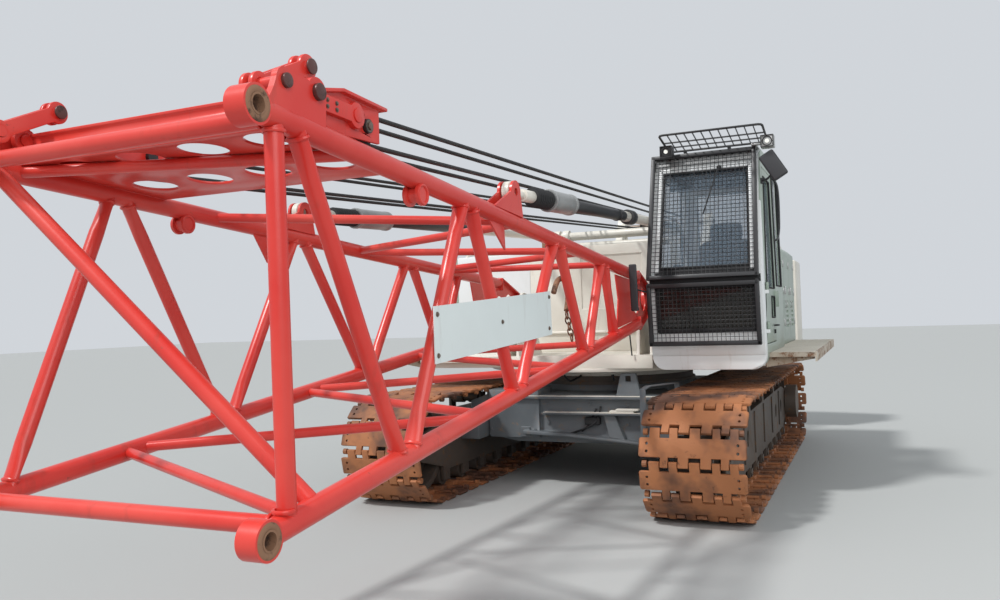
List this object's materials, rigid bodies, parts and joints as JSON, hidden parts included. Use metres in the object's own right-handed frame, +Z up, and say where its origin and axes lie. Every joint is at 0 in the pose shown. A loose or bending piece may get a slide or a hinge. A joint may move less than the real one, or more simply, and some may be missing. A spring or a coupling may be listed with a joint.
{
  "type": "crawler crane",
  "caption": "Tracked lattice boom crane with a slewing upper works, side cab, winch drums, gantry and backstops, carrying the tapered base section of its boom.",
  "frame": {"origin": "middle of the machine's length and width, on the ground", "axes": "+X forward along the boom, +Y to the operator's left where the cab is, +Z up"},
  "size_m": [10.166, 4.05, 3.0107],
  "materials": {
    "red_paint": "weathered gloss paint with rust at the joints",
    "cream_paint": "weathered paint with dirt runs",
    "grey_paint": "dull dark paint, dusty",
    "rusty_steel": "worn and rusty",
    "worn_steel": "greasy and worn",
    "black_paint": "matt black paint",
    "window_glass": "clear",
    "seat_cloth": "woven",
    "dark_plastic": "grained",
    "lamp_housing": "satin",
    "bare_sheet": "dusty, blank",
    "wire_rope": "greased"
  },
  "bodies": {
    "lower": {"car_body": "grey_paint", "side_frames": "grey_paint", "track_left": "rusty_steel", "track_right": "rusty_steel", "idlers": "worn_steel", "sprockets": "worn_steel", "track_rollers": "worn_steel", "slew_ring": "worn_steel"},
    "upper": {"deck": "cream_paint", "cab_shell": "cream_paint", "cab_glass": "window_glass", "cab_guard": "black_paint", "cab_visor": "black_paint", "cab_seat": "seat_cloth", "cab_console": "dark_plastic", "work_lamps": "lamp_housing", "mirrors": "dark_plastic", "house_left": "cream_paint", "house_right": "cream_paint", "front_cover": "cream_paint", "engine": "worn_steel", "exhaust": "rusty_steel", "counterweight": "cream_paint", "gantry": "cream_paint", "gantry_sheaves": "worn_steel", "catwalks": "cream_paint"},
    "cab_door": {"cab_door": "cream_paint", "door_glass": "window_glass"},
    "front_drum": {"front_drum": "rusty_steel"},
    "rear_drum": {"rear_drum": "rusty_steel"},
    "boom_hoist_drum": {"boom_hoist_drum": "rusty_steel"},
    "boom": {"top_chords": "red_paint", "bottom_chords": "red_paint", "foot_plates": "red_paint", "side_lacing": "red_paint", "plan_lacing": "red_paint", "end_frame": "red_paint", "top_plate": "red_paint", "equalizer": "red_paint", "equalizer_sheaves": "black_paint", "pendant_links": "red_paint", "sign_plate": "bare_sheet"},
    "backstop_rods": {"backstop_rods": "cream_paint"},
    "backstop_tubes": {"backstop_tubes": "black_paint"},
    "hoist_ropes": {"hoist_ropes": "wire_rope"}
  },
  "joints": [
    {"name": "swing", "type": "hinge", "parent": "lower", "child": "upper", "pos_m": [-1.383, 0, 0.96], "axis": [0, 0, 1], "continuous": true},
    {"name": "boom_lift", "type": "hinge", "parent": "upper", "child": "boom", "pos_m": [-0.333, 0, 1.66], "axis": [0, -1, 0], "range_deg": [0, 80], "deforming": ["hoist_ropes"]},
    {"name": "cab_door_hinge", "type": "hinge", "parent": "upper", "child": "cab_door", "pos_m": [-0.041, 1.686, 1.9], "axis": [0, 0, -1], "range_deg": [0, 90]},
    {"name": "front_drum_turn", "type": "hinge", "parent": "upper", "child": "front_drum", "pos_m": [-1.713, 0, 1.64], "axis": [0, 1, 0], "continuous": true},
    {"name": "rear_drum_turn", "type": "hinge", "parent": "upper", "child": "rear_drum", "pos_m": [-2.503, 0, 1.64], "axis": [0, 1, 0], "continuous": true},
    {"name": "boom_hoist_drum_turn", "type": "hinge", "parent": "upper", "child": "boom_hoist_drum", "pos_m": [-3.183, 0, 1.56], "axis": [0, 1, 0], "continuous": true},
    {"name": "backstop_pitch", "type": "hinge", "parent": "upper", "child": "backstop_rods", "pos_m": [-1.683, 0, 2.4], "axis": [0, -1, 0], "range_deg": [0, 64]},
    {"name": "backstop_slide", "type": "slide", "parent": "backstop_rods", "child": "backstop_tubes", "axis": [-0.9992, 0, 0.0394], "range_m": [0, 1.71]},
    {"name": "hoist_rope_pitch", "type": "hinge", "parent": "upper", "child": "hoist_ropes", "pos_m": [-3.883, 0, 2.68], "axis": [0, -1, 0], "range_deg": [0, 47]}
  ],
  "couplings": [
    {"joint": "backstop_pitch", "follows": "boom_lift", "ratio": 0.7995},
    {"joint": "backstop_slide", "follows": "boom_lift", "m_per_rad": 1.2199},
    {"joint": "hoist_rope_pitch", "follows": "boom_lift", "ratio": 0.5874}
  ]
}
